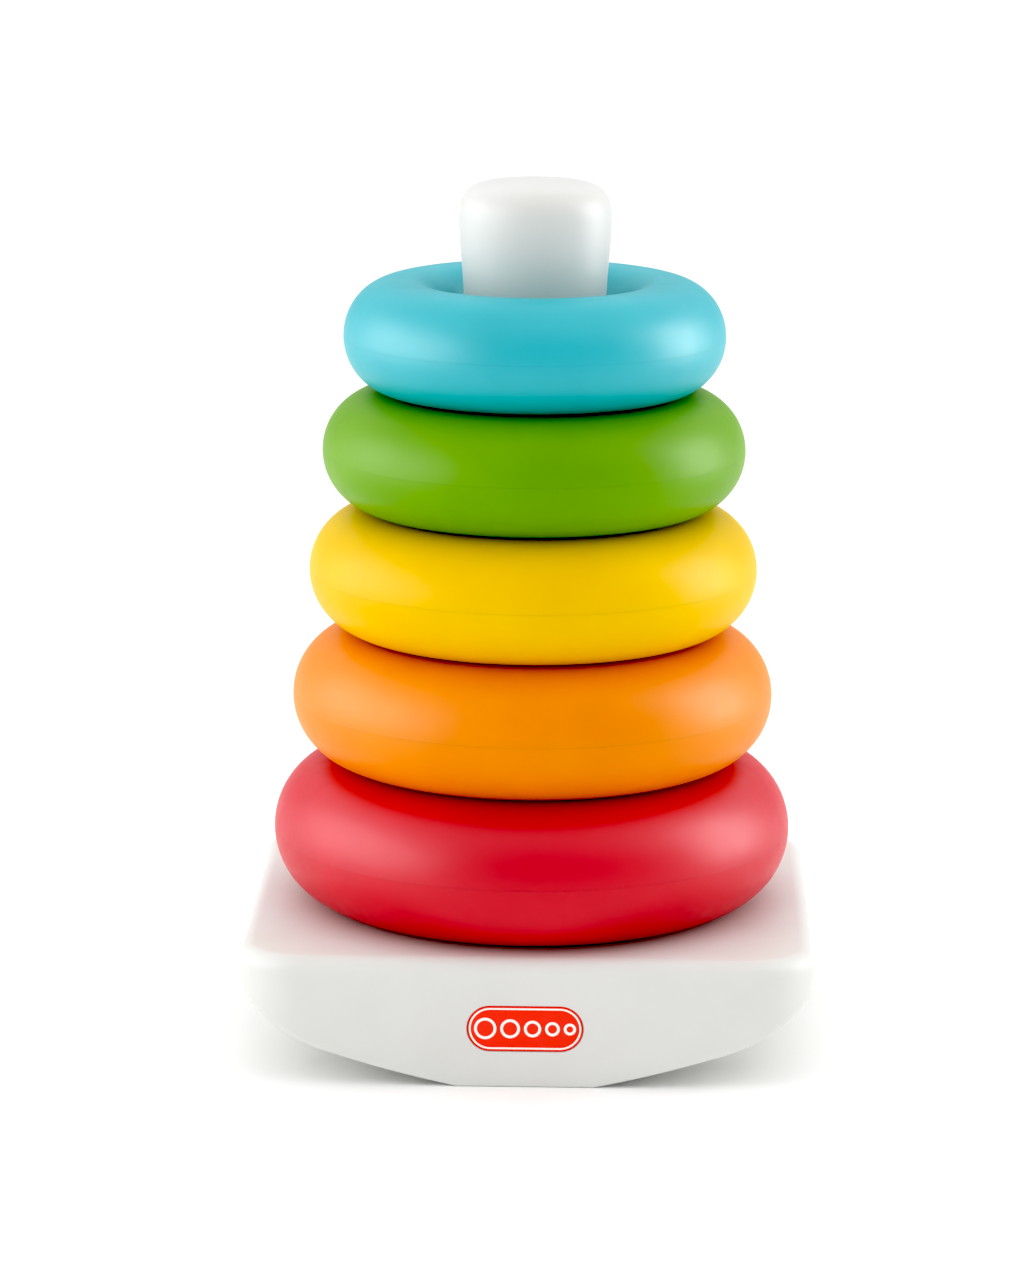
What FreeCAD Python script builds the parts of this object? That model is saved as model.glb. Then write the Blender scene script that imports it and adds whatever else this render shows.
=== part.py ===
import FreeCAD, Part
import math
import os

# Stacking ring toy: a white rocker base with a fixed centre post, and five hollow
# rings that drop over the post, largest first.
#
# Millimetres, +Z up. The origin is on the ground under the post's axis, at the
# middle of the flat keel. X runs across the rocker and Y runs front to back, with
# the front wall and its label at -Y.

V = FreeCAD.Vector
UP = V(0, 0, 1)
ORIGIN = V(0, 0, 0)

# --- driving dimensions -----------------------------------------------------------

# Base.
BASE_WIDTH = 128.0
BASE_DEPTH = 114.8
BASE_CORNER_RADIUS = 14.2
DECK_HEIGHT = 28.9
DECK_EDGE_RADIUS = 3.6
BASE_WALL = 2.4
DECK_THICKNESS = 2.6

# Rocker: a flat keel to stand on, a long shallow arc each side of it, then a
# steeper arc that runs up to the side wall. Each is a point on the right half (X, Z).
KEEL_END = (15.0, 0.0)
ROCK_ARC_MIDDLE = (30.0, 3.55)
ROCK_ARC_END = (46.0, 8.4)
BILGE_ARC_MIDDLE = (56.9, 14.4)
BILGE_ARC_END = (64.0, 20.2)

# Bottom cover, which closes the base between its walls.
COVER_GAP = 0.2
COVER_THICKNESS = 2.4

# Post.
POST_WALL = 2.4
POST_NECK_RADIUS = 16.0
POST_HEAD_RADIUS = 17.1
POST_TOP = 193.1
POST_HEAD_WIDEST = 185.15
POST_HEAD_START = 166.0
POST_HEAD_EASE = 6.7
POST_SHOULDER_EASE = 4.75
POST_CROWN_RADIUS = 10.15
POST_CROWN_RISE = 0.42
POST_CROWN_EASE = (4.8, 0.4)
POST_FLANGE_RADIUS = 22.5
POST_FLANGE_THICKNESS = 2.6
POST_HOLE_GAP = 0.15
KEY_WIDTH = 4.0
KEY_GAP = 0.2

# Rings, bottom to top: name, outer radius, half height, outer shoulder width.
RING_HOLE_RADIUS = 19.3
RING_WALL = 2.2
RING_INNER_SHOULDER_RATIO = 0.72
RINGS = [
    ("red", 58.85, 16.15, 15.3),
    ("orange", 54.5, 14.85, 14.25),
    ("yellow", 50.7, 14.0, 13.8),
    ("green", 47.7, 13.35, 13.2),
    ("blue", 42.95, 12.6, 11.75),
]

# Weld joint between the two halves of a ring: a tongue on the lower half that sits
# in a groove in the upper half, on both walls.
TONGUE_WIDTH = 0.8
TONGUE_HEIGHT = 0.9
GROOVE_WIDTH = 0.9
GROOVE_DEPTH = 1.0

# Base screws, driven up through the cover into bosses under the deck.
SCREW_X = 44.0
SCREW_Y = 40.0
SCREW_SEAT_Z = 11.2
SCREW_SHANK_RADIUS = 1.5
SCREW_SHANK_LENGTH = 12.0
SCREW_HEAD_RADIUS = 2.9
SCREW_HEAD_HEIGHT = 2.2
SCREW_DRIVE_WIDTH = 0.9
SCREW_DRIVE_LENGTH = 3.2
SCREW_DRIVE_DEPTH = 1.2
PILOT_RADIUS = 1.3
PILOT_DEPTH = 11.5
BOSS_RADIUS = 4.2
CUP_RADIUS = 5.2
CUP_WELL_RADIUS = 3.4
CUP_HOLE_RADIUS = 1.75
CUP_FLOOR = 2.4

# Stiffening ribs under the deck.
RIB_THICKNESS = 1.6
RIB_DEPTH = 9.0

# Label, set in a shallow recess in the front wall.
LABEL_WIDTH = 25.6
LABEL_HEIGHT = 10.3
LABEL_CENTRE_Z = 13.4
LABEL_THICKNESS = 0.4
LABEL_RECESS = 0.5
LABEL_GAP = 0.1

HALF_WIDTH = BASE_WIDTH / 2
HALF_DEPTH = BASE_DEPTH / 2
DECK_UNDERSIDE = DECK_HEIGHT - DECK_THICKNESS


# --- shared shapes ------------------------------------------------------------------

def arc(start, middle, end):
    return Part.Arc(start, middle, end).toShape()


def line(start, end):
    return Part.LineSegment(start, end).toShape()


def tube(outer, inner, bottom, top):
    solid = Part.makeCylinder(outer, top - bottom, V(0, 0, bottom))
    return solid.cut(Part.makeCylinder(inner, top - bottom + 2, V(0, 0, bottom - 1)))


def rounded_slab(inset, bottom, top):
    """The base's plan, drawn in by inset, as a slab from bottom to top."""
    x = HALF_WIDTH - inset
    y = HALF_DEPTH - inset
    radius = max(BASE_CORNER_RADIUS - inset, 1.0)
    slab = Part.makeBox(2 * x, 2 * y, top - bottom, V(-x, -y, bottom))
    corners = [e for e in slab.Edges if abs(e.tangentAt(e.FirstParameter).z) > 0.9]
    return slab.makeFillet(radius, corners)


def above_rocker(lift):
    """Everything over the rocker line, which is raised by lift, up to past the deck."""
    def point(place, side):
        return V(side * place[0], -HALF_DEPTH - 5, place[1] + lift)

    top = DECK_HEIGHT + 40
    edges = []
    for side in (-1, 1):
        keel = point(KEEL_END, side)
        knee = point(ROCK_ARC_END, side)
        rim = point(BILGE_ARC_END, side)
        edges.append(arc(keel, point(ROCK_ARC_MIDDLE, side), knee))
        edges.append(arc(knee, point(BILGE_ARC_MIDDLE, side), rim))
        edges.append(line(rim, V(rim.x, rim.y, top)))
    left = point(KEEL_END, -1)
    right = point(KEEL_END, 1)
    edges.append(line(left, right))
    edges.append(line(V(-HALF_WIDTH, left.y, top), V(HALF_WIDTH, left.y, top)))
    wire = Part.Wire(Part.__sortEdges__(edges))
    return Part.Face(wire).extrude(V(0, BASE_DEPTH + 10, 0))


def screw_places():
    return [(x, y) for x in (-SCREW_X, SCREW_X) for y in (-SCREW_Y, SCREW_Y)]


def label_block(grow, outer_y, depth):
    """A round-ended block on the front wall, from outer_y inwards by depth."""
    width = LABEL_WIDTH + 2 * grow
    height = LABEL_HEIGHT + 2 * grow
    corner = V(-width / 2, outer_y, LABEL_CENTRE_Z - height / 2)
    block = Part.makeBox(width, depth, height, corner)
    ends = [e for e in block.Edges if abs(e.tangentAt(e.FirstParameter).y) > 0.9]
    return block.makeFillet(height / 2 - 0.05, ends)


# --- base shell ---------------------------------------------------------------------

def deck_and_walls():
    """The outer form: rounded plan, rocker underside and a soft deck edge, hollowed."""
    block = rounded_slab(0, 0, DECK_HEIGHT)
    rim = [e for e in block.Edges if e.BoundBox.ZMin > DECK_HEIGHT - 0.01]
    block = block.makeFillet(DECK_EDGE_RADIUS, rim)
    block = block.common(above_rocker(0))
    return block.cut(rounded_slab(BASE_WALL, -1, DECK_UNDERSIDE))


def deck_ribs():
    """A cross of ribs and a ring round the post, hanging from the deck."""
    low = DECK_UNDERSIDE - RIB_DEPTH
    long_x = 2 * (HALF_WIDTH - BASE_WALL)
    long_y = 2 * (HALF_DEPTH - BASE_WALL)
    half = RIB_THICKNESS / 2
    across = Part.makeBox(long_x, RIB_THICKNESS, RIB_DEPTH, V(-long_x / 2, -half, low))
    along = Part.makeBox(RIB_THICKNESS, long_y, RIB_DEPTH, V(-half, -long_y / 2, low))
    collar_outer = POST_FLANGE_RADIUS + KEY_GAP + RIB_THICKNESS
    collar = tube(collar_outer, POST_FLANGE_RADIUS + KEY_GAP, low, DECK_UNDERSIDE)
    space = Part.makeCylinder(POST_FLANGE_RADIUS + KEY_GAP, RIB_DEPTH, V(0, 0, low))
    ribs = across.fuse(along).cut(space).fuse(collar)
    return ribs.common(above_rocker(COVER_THICKNESS + COVER_GAP))


def post_keys():
    """Two blocks on the collar's inside that stop the post from turning."""
    low = DECK_UNDERSIDE - POST_FLANGE_THICKNESS
    reach = POST_FLANGE_RADIUS + KEY_GAP + 0.5
    start = POST_FLANGE_RADIUS - KEY_WIDTH / 2
    keys = []
    for side in (-1, 1):
        x = start if side > 0 else -reach
        corner = V(x, -KEY_WIDTH / 2, low)
        keys.append(Part.makeBox(reach - start, KEY_WIDTH, POST_FLANGE_THICKNESS, corner))
    return keys


def screw_boss(x, y):
    bottom = SCREW_SEAT_Z + CUP_FLOOR
    return Part.makeCylinder(BOSS_RADIUS, DECK_UNDERSIDE - bottom, V(x, y, bottom))


def screw_pilot(x, y):
    bottom = SCREW_SEAT_Z + CUP_FLOOR
    return Part.makeCylinder(PILOT_RADIUS, PILOT_DEPTH, V(x, y, bottom))


def base_shell():
    shell = deck_and_walls()
    added = [deck_ribs()] + post_keys()
    added += [screw_boss(x, y) for x, y in screw_places()]
    shell = shell.fuse(added)
    hole = Part.makeCylinder(POST_NECK_RADIUS + POST_HOLE_GAP, 20, V(0, 0, DECK_HEIGHT - 15))
    cuts = [hole, label_block(LABEL_GAP, -HALF_DEPTH, LABEL_RECESS)]
    cuts += [screw_pilot(x, y) for x, y in screw_places()]
    return shell.cut(cuts).removeSplitter()


# --- bottom cover -------------------------------------------------------------------

def cover_plate():
    inside = rounded_slab(BASE_WALL + COVER_GAP, -1, DECK_HEIGHT)
    return inside.common(above_rocker(0)).cut(above_rocker(COVER_THICKNESS))


def screw_cup(x, y):
    """A raised cup that sinks a screw's head below the rocker's surface."""
    top = SCREW_SEAT_Z + CUP_FLOOR
    cup = Part.makeCylinder(CUP_RADIUS, top, V(x, y, 0))
    return cup.common(above_rocker(0))


def post_seat():
    """The upright tube on the cover that holds the post's flange up to the deck."""
    top = DECK_UNDERSIDE - POST_FLANGE_THICKNESS
    return tube(POST_FLANGE_RADIUS - 0.5, POST_FLANGE_RADIUS - 3.0, COVER_THICKNESS / 2, top)


def bottom_cover():
    cover = cover_plate().fuse([screw_cup(x, y) for x, y in screw_places()])
    cover = cover.fuse(post_seat())
    cuts = []
    for x, y in screw_places():
        cuts.append(Part.makeCylinder(CUP_WELL_RADIUS, SCREW_SEAT_Z, V(x, y, 0)))
        cuts.append(Part.makeCylinder(CUP_HOLE_RADIUS, DECK_HEIGHT, V(x, y, 0)))
    return cover.cut(cuts).removeSplitter()


# --- post -----------------------------------------------------------------------------

def post_outline(inset, bottom):
    """Half the post's outline, drawn in by inset, as a face to turn about the axis."""
    neck = POST_NECK_RADIUS - inset
    head = POST_HEAD_RADIUS - inset
    top = POST_TOP - inset
    crown_radius = POST_CROWN_RADIUS - inset / 2
    crown_z = top - POST_CROWN_RISE
    edges = [
        line(V(0, 0, bottom), V(neck, 0, bottom)),
        line(V(neck, 0, bottom), V(neck, 0, POST_HEAD_START)),
    ]
    swell = Part.BezierCurve()
    swell.setPoles([
        V(neck, 0, POST_HEAD_START),
        V(neck, 0, POST_HEAD_START + POST_HEAD_EASE),
        V(head, 0, POST_HEAD_WIDEST - POST_HEAD_EASE),
        V(head, 0, POST_HEAD_WIDEST),
    ])
    edges.append(swell.toShape())
    shoulder = Part.BezierCurve()
    shoulder.setPoles([
        V(head, 0, POST_HEAD_WIDEST),
        V(head, 0, POST_HEAD_WIDEST + POST_SHOULDER_EASE),
        V(crown_radius + POST_CROWN_EASE[0], 0, crown_z - POST_CROWN_EASE[1]),
        V(crown_radius, 0, crown_z),
    ])
    edges.append(shoulder.toShape())
    dome = (crown_radius**2 + POST_CROWN_RISE**2) / (2 * POST_CROWN_RISE)
    half_out = crown_radius / 2
    crown_middle = V(half_out, 0, top - dome + math.sqrt(dome**2 - half_out**2))
    edges.append(arc(V(crown_radius, 0, crown_z), crown_middle, V(0, 0, top)))
    edges.append(line(V(0, 0, top), V(0, 0, bottom)))
    return Part.Face(Part.Wire(edges))


def post():
    foot = DECK_UNDERSIDE - POST_FLANGE_THICKNESS
    solid = post_outline(0, foot).revolve(ORIGIN, UP, 360)
    solid = Part.Solid(solid) if solid.ShapeType == "Shell" else solid
    core = post_outline(POST_WALL, foot - 1).revolve(ORIGIN, UP, 360)
    core = Part.Solid(core) if core.ShapeType == "Shell" else core
    flange = Part.makeCylinder(POST_FLANGE_RADIUS, POST_FLANGE_THICKNESS, V(0, 0, foot))
    notch_start = POST_FLANGE_RADIUS - KEY_WIDTH / 2 - KEY_GAP
    notch_width = KEY_WIDTH + 2 * KEY_GAP
    for side in (-1, 1):
        x = notch_start if side > 0 else -notch_start - 5
        corner = V(x, -notch_width / 2, foot - 1)
        flange = flange.cut(Part.makeBox(5, notch_width, POST_FLANGE_THICKNESS + 2, corner))
    return solid.fuse(flange).cut(core).removeSplitter()


# --- rings ------------------------------------------------------------------------------

def quarter(centre, width, height, side):
    """A quarter ellipse from the top of centre (side 1 outward, -1 inward) to its level."""
    ellipse = Part.Ellipse(centre + V(0, 0, height), centre + V(side * width, 0, 0), centre)
    return Part.Arc(ellipse, 0, math.pi / 2).toShape()


def ring_half_outline(outer, half_height, shoulder, joint):
    """Half a ring's wall in section, above the joint's level, with its weld edges.

    joint lists the points from the outer wall's face across it, then is repeated,
    turned round, on the inner wall.
    """
    inner_shoulder = RING_INNER_SHOULDER_RATIO * half_height
    out_centre = V(outer - shoulder, 0, 0)
    in_centre = V(RING_HOLE_RADIUS + inner_shoulder, 0, 0)
    inside = half_height - RING_WALL
    outer_wall = [V(outer - across, 0, z) for across, z in joint]
    inner_wall = [V(RING_HOLE_RADIUS + across, 0, z) for across, z in joint]
    edges = [
        quarter(out_centre, shoulder, half_height, 1),
        line(out_centre + V(0, 0, half_height), in_centre + V(0, 0, half_height)),
        quarter(in_centre, inner_shoulder, half_height, -1),
        quarter(out_centre, shoulder - RING_WALL, inside, 1),
        line(out_centre + V(0, 0, inside), in_centre + V(0, 0, inside)),
        quarter(in_centre, inner_shoulder - RING_WALL, inside, -1),
    ]
    for wall in (outer_wall, inner_wall):
        edges += [line(a, b) for a, b in zip(wall, wall[1:])]
    return Part.Face(Part.Wire(Part.__sortEdges__(edges)))


def weld_edge(width, depth):
    """Points across a wall's edge: a flat, a step of width and depth, and a flat."""
    start = (RING_WALL - width) / 2
    end = (RING_WALL + width) / 2
    return [(0, 0), (start, 0), (start, depth), (end, depth), (end, 0), (RING_WALL, 0)]


def ring_half(outer, half_height, shoulder, centre_z, upper):
    if upper:
        joint = weld_edge(GROOVE_WIDTH, GROOVE_DEPTH)
    else:
        joint = weld_edge(TONGUE_WIDTH, -TONGUE_HEIGHT)
    face = ring_half_outline(outer, half_height, shoulder, joint)
    half = face.revolve(ORIGIN, UP, 360)
    half = Part.Solid(half) if half.ShapeType == "Shell" else half
    if not upper:
        half = half.mirror(ORIGIN, UP)
    half.translate(V(0, 0, centre_z))
    return half


# --- screws and label -------------------------------------------------------------------

def screw(x, y):
    """A pan head screw with a cross drive, head down."""
    shank = Part.makeCylinder(SCREW_SHANK_RADIUS, SCREW_SHANK_LENGTH, V(x, y, SCREW_SEAT_Z))
    tip = [e for e in shank.Edges if e.BoundBox.ZMin > SCREW_SEAT_Z + 1]
    shank = shank.makeChamfer(0.6, tip)
    under = SCREW_SEAT_Z - SCREW_HEAD_HEIGHT
    head = Part.makeCylinder(SCREW_HEAD_RADIUS, SCREW_HEAD_HEIGHT, V(x, y, under))
    face = [e for e in head.Edges if e.BoundBox.ZMax < under + 0.01]
    head = head.makeFillet(1.0, face)
    long_side = SCREW_DRIVE_LENGTH
    short_side = SCREW_DRIVE_WIDTH
    for dx, dy in ((long_side, short_side), (short_side, long_side)):
        corner = V(x - dx / 2, y - dy / 2, under - 1)
        head = head.cut(Part.makeBox(dx, dy, SCREW_DRIVE_DEPTH + 1, corner))
    return head.fuse(shank).removeSplitter()


def base_screws():
    return Part.makeCompound([screw(x, y) for x, y in screw_places()])


def front_label():
    back = -HALF_DEPTH + LABEL_RECESS
    return label_block(0, back - LABEL_THICKNESS, LABEL_THICKNESS)


# --- assembly ---------------------------------------------------------------------------

def all_parts():
    parts = {
        "base_shell": base_shell(),
        "bottom_cover": bottom_cover(),
        "post": post(),
        "base_screws": base_screws(),
        "front_label": front_label(),
    }
    level = DECK_HEIGHT
    for colour, outer, half_height, shoulder in RINGS:
        level += half_height
        for name, upper in (("lower", False), ("upper", True)):
            half = ring_half(outer, half_height, shoulder, level, upper)
            parts[f"{colour}_ring_{name}"] = half
        level += half_height
    return parts


os.makedirs("parts", exist_ok=True)
for name, shape in all_parts().items():
    solids = shape.Solids
    if not shape.isValid() or not solids:
        raise SystemExit(f"{name} isn't a valid solid")
    box = shape.BoundBox
    print(
        f"{name}: {len(solids)} solid(s), {shape.Volume / 1000:.2f} cm3,"
        f" x {box.XMin:.1f}..{box.XMax:.1f}, y {box.YMin:.1f}..{box.YMax:.1f},"
        f" z {box.ZMin:.2f}..{box.ZMax:.2f}"
    )
    shape.exportStep(f"parts/{name}.step")
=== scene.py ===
import math

import bmesh
import bpy
from mathutils import Matrix, Vector


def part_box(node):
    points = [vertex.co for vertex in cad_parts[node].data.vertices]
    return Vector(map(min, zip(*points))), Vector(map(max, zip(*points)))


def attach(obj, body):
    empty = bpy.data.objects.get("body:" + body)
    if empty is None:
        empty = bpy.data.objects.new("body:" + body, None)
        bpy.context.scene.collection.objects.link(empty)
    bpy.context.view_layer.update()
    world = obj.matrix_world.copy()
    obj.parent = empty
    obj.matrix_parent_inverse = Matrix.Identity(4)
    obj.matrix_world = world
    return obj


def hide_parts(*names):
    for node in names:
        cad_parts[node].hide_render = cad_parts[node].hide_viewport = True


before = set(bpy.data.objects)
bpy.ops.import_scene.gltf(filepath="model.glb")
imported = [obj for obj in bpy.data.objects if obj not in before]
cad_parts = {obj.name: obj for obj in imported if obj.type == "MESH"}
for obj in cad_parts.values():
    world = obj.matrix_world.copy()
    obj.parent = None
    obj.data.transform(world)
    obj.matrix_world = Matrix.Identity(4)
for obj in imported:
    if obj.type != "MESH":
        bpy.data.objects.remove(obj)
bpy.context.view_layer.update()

# A stacking ring toy: a white rocker base, a post fixed in it, and five hollow rings that
# drop over the post. Metres, +Z up, with the origin under the post on the ground, X across
# the rocker and the front wall at -Y. The sections follow the order of assembly.


# --- base shell ---------------------------------------------------------------------------
# One white polypropylene moulding, open below: a flat deck with a soft edge, four walls whose
# lower rim is the rocker's curve, and under the deck the ribs, the post's collar and the screw
# bosses. The front wall has a shallow recess for the label.

MM = 0.001

shell_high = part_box("base_shell")[1]
HALF_WIDTH = shell_high.x
HALF_DEPTH = shell_high.y
DECK_TOP = shell_high.z
CORNER_RADIUS = 14.2 * MM
DECK_EDGE_RADIUS = 3.6 * MM
SHELL_WALL = 2.4 * MM
DECK_UNDERSIDE = DECK_TOP - 2.6 * MM
LIP_RADIUS = 0.5 * MM
INNER_FILLET = 0.8 * MM
POST_HOLE_RADIUS = 16.15 * MM
POST_HOLE_ROUND = 0.25 * MM

# The rocker: how far out the flat keel, the long shallow arc and the steep arc end, how high
# the rim is there, and each arc's middle point.
KEEL_END = (15.0 * MM, 0.0)
ROCK_ARC = (KEEL_END, (30.0 * MM, 3.55 * MM), (46.0 * MM, 8.4 * MM))
BILGE_ARC = (ROCK_ARC[2], (56.9 * MM, 14.4 * MM), (HALF_WIDTH, 20.2 * MM))

COLLAR_RADIUS = 22.7 * MM
RIB_THICKNESS = 1.6 * MM
RIB_DEPTH = 9.0 * MM
RIB_STEPS = 24
COVER_ROOM = 2.7 * MM
KEY_WIDTH = 4.0 * MM
KEY_REACH = 20.5 * MM
FLANGE_THICKNESS = 2.6 * MM

# How far what hangs under the deck runs into the deck and walls, and how far a cutter starts
# outside what it cuts.
JOIN_DEPTH = 0.4 * MM
CUT_OVERRUN = 1.0 * MM

cups_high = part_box("base_screws")[1]
SCREW_HEAD_RADIUS = 2.9 * MM
SCREW_PLACES = [
    (across * (cups_high.x - SCREW_HEAD_RADIUS), deep * (cups_high.y - SCREW_HEAD_RADIUS))
    for across in (-1, 1)
    for deep in (-1, 1)
]
BOSS_RADIUS = 4.2 * MM
BOSS_BOTTOM = 13.6 * MM
PILOT_RADIUS = 1.3 * MM
PILOT_DEPTH = 11.5 * MM

label_low, label_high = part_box("front_label")
LABEL_GAP = 0.1 * MM
LABEL_RECESS = 0.5 * MM

BASE_WHITE = (222, 223, 221)
BASE_WHITE_DEEP = (218, 219, 216)

# How deep light spreads in the plastic, and how much of that every colour of light gets.
GLOW_DEPTH = 1.6 * MM
GLOW_SPREAD = 0.3


def circle_height(arc, x):
    """Height at x of the upward-curling circle through the arc's three points."""
    (x1, z1), (x2, z2), (x3, z3) = arc
    twice_area = 2 * (x1 * (z2 - z3) + x2 * (z3 - z1) + x3 * (z1 - z2))
    squares = [px**2 + pz**2 for px, pz in arc]
    centre_x = squares[0] * (z2 - z3) + squares[1] * (z3 - z1) + squares[2] * (z1 - z2)
    centre_z = squares[0] * (x3 - x2) + squares[1] * (x1 - x3) + squares[2] * (x2 - x1)
    centre_x /= twice_area
    centre_z /= twice_area
    radius = math.hypot(x1 - centre_x, z1 - centre_z)
    return centre_z - math.sqrt(max(radius**2 - (x - centre_x) ** 2, 0))


def rocker_height(x):
    """Height of the rocker's underside at a distance x from the middle."""
    x = abs(x)
    if x <= KEEL_END[0]:
        return 0.0
    return circle_height(ROCK_ARC if x <= ROCK_ARC[2][0] else BILGE_ARC, x)


def spaced(start, end, steps):
    """Evenly spaced values from start up to, and without, end."""
    return [start + (end - start) * step / steps for step in range(steps)]


def plan_loop(inset):
    """The base's plan outline drawn in by inset, counterclockwise from the front's left end."""
    straight_x = HALF_WIDTH - CORNER_RADIUS
    straight_y = HALF_DEPTH - CORNER_RADIUS
    knee = ROCK_ARC[2][0]
    keel = KEEL_END[0]
    across = spaced(-straight_x, -knee, 3) + spaced(-knee, -keel, 20) + spaced(-keel, keel, 12)
    across += spaced(keel, knee, 20) + spaced(knee, straight_x, 3)
    deep = spaced(-straight_y, straight_y, 36)
    radius = CORNER_RADIUS - inset
    corner_turns = spaced(-math.pi / 2, 0, 24)
    front = -HALF_DEPTH + inset
    side = HALF_WIDTH - inset
    half = [(x, front) for x in across]
    for turn in corner_turns:
        x = straight_x + radius * math.cos(turn)
        half.append((x, -straight_y + radius * math.sin(turn)))
    half += [(side, y) for y in deep]
    for turn in corner_turns:
        x = straight_x - radius * math.sin(turn)
        half.append((x, straight_y + radius * math.cos(turn)))
    return half + [(-x, -y) for x, y in half]


def at_height(loop, height):
    """The loop's points at one height."""
    return [Vector((x, y, height)) for x, y in loop]


def over_rocker(loop, lift):
    """The loop's points on the rocker's underside, raised by lift."""
    return [Vector((x, y, rocker_height(x) + lift)) for x, y in loop]


def round_loop(radius, height):
    """A circle round the post with its points in line with the plan's."""
    turns = [math.atan2(y, x) for x, y in plan_loop(0)]
    return [Vector((radius * math.cos(a), radius * math.sin(a), height)) for a in turns]


def between(first, second, steps):
    """The loops that divide the way from one loop to another into steps."""
    shares = [step / steps for step in range(1, steps)]
    return [[a.lerp(b, share) for a, b in zip(first, second)] for share in shares]


def quarter_turns(steps):
    """Angles from 0 up to and with a right angle."""
    return [math.pi / 2 * step / steps for step in range(steps + 1)]


def loft(name, loops, closed):
    """A mesh whose faces join each loop of points to the next, and if closed the last to the first."""
    count = len(loops[0])
    points = [point for loop in loops for point in loop]
    rows = len(loops) if closed else len(loops) - 1
    faces = []
    for row in range(rows):
        here = row * count
        there = (row + 1) % len(loops) * count
        for step in range(count):
            following = (step + 1) % count
            faces.append((here + step, here + following, there + following, there + step))
    mesh = bpy.data.meshes.new(name)
    mesh.from_pydata(points, [], faces)
    return mesh


def new_piece(name, mesh):
    """An object in the scene that holds the mesh."""
    piece = bpy.data.objects.new(name, mesh)
    bpy.context.scene.collection.objects.link(piece)
    return piece


def clean_faces(mesh):
    """Merges doubles and turns every face of a closed mesh outwards."""
    work = bmesh.new()
    work.from_mesh(mesh)
    bmesh.ops.remove_doubles(work, verts=work.verts, dist=1e-7)
    bmesh.ops.recalc_face_normals(work, faces=work.faces)
    work.to_mesh(mesh)
    work.free()


def settle(piece, crease_angle):
    """Makes what the piece's modifiers give its own plain mesh, smooth up to crease_angle."""
    graph = bpy.context.evaluated_depsgraph_get()
    made = bpy.data.meshes.new_from_object(piece.evaluated_get(graph))
    made.name = piece.name
    piece.modifiers.clear()
    piece.data = made
    made.shade_smooth()
    made.set_sharp_from_angle(angle=math.radians(crease_angle))


def combine(piece, tool, operation, overlapping=False):
    """Joins a second solid to the piece, or cuts it away. Its own parts may overlap."""
    modifier = piece.modifiers.new(operation, "BOOLEAN")
    modifier.operation = operation
    modifier.solver = "EXACT"
    modifier.use_self = overlapping
    modifier.object = tool
    settle(piece, 30)
    bpy.data.objects.remove(tool)


def add_box(work, low, high):
    """A box between two corners, in a bmesh."""
    centre = (Vector(low) + Vector(high)) / 2
    size = Vector(high) - Vector(low)
    place = Matrix.Translation(centre) @ Matrix.Diagonal((*size, 1))
    bmesh.ops.create_cube(work, size=1, matrix=place)


def join_loops(work, here, there):
    """The faces between two loops of corners of the same count, in a bmesh."""
    for step in range(len(here)):
        following = (step + 1) % len(here)
        work.faces.new((here[step], here[following], there[following], there[step]))


def add_tube(work, x, y, outer, inner, low, high, steps=48):
    """An upright tube, or a plain rod if inner is 0, in a bmesh."""
    turns = spaced(0, 2 * math.pi, steps)

    def loop(radius, height):
        return [
            work.verts.new((x + radius * math.cos(a), y + radius * math.sin(a), height))
            for a in turns
        ]

    loops = [loop(outer, low), loop(outer, high)]
    if inner > 0:
        loops += [loop(inner, high), loop(inner, low)]
        for here, there in zip(loops, loops[1:] + loops[:1]):
            join_loops(work, here, there)
    else:
        work.faces.new(loops[1])
        work.faces.new(loops[0][::-1])
        join_loops(work, *loops)


def solid_from(name, work):
    """An object holding what a bmesh has, its faces turned outwards."""
    bmesh.ops.recalc_face_normals(work, faces=work.faces)
    mesh = bpy.data.meshes.new(name)
    work.to_mesh(mesh)
    work.free()
    return new_piece(name, mesh)


def stadium(width, height, steps):
    """A round-ended outline about the origin, counterclockwise, as (x, z)."""
    radius = height / 2
    straight = width / 2 - radius
    outline = []
    for side, start in ((1, -math.pi / 2), (-1, math.pi / 2)):
        for step in range(steps + 1):
            turn = start + math.pi * step / steps
            x = side * straight + radius * math.cos(turn)
            outline.append((x, radius * math.sin(turn)))
    return outline


def add_prism(work, outline, centre_z, front, back):
    """A plate with that (x, z) outline, from y = front to y = back, in a bmesh."""
    near = [work.verts.new((x, front, centre_z + z)) for x, z in outline]
    far = [work.verts.new((x, back, centre_z + z)) for x, z in outline]
    work.faces.new(near)
    work.faces.new(far[::-1])
    join_loops(work, far, near)


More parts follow.
